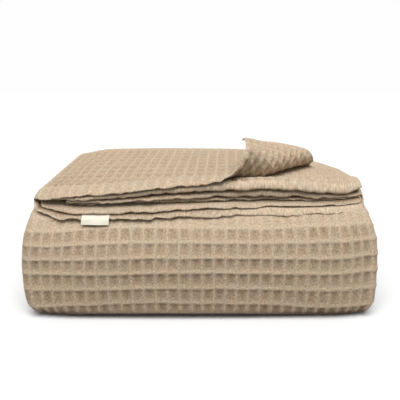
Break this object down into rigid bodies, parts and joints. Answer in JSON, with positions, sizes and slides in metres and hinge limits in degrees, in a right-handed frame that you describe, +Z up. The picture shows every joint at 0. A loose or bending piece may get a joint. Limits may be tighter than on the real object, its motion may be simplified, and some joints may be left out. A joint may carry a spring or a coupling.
{
  "type": "folded waffle weave blanket",
  "caption": "Thick waffle weave cotton blanket, folded lengthwise and rolled over into a stack with a rounded front, its top front corner turned back.",
  "frame": {"origin": "on the surface that the stack rests on, under the middle of the stack", "axes": "+X to the right along the stack's long side, -Y towards its rounded front, +Z up"},
  "size_m": [0.4099, 0.2959, 0.1904],
  "materials": {
    "waffle_cotton": "soft matte waffle weave cotton",
    "label_ribbon": "fine woven ribbon, blank"
  },
  "bodies": {
    "root": {"blanket": "waffle_cotton", "label": "label_ribbon"}
  },
  "joints": []
}
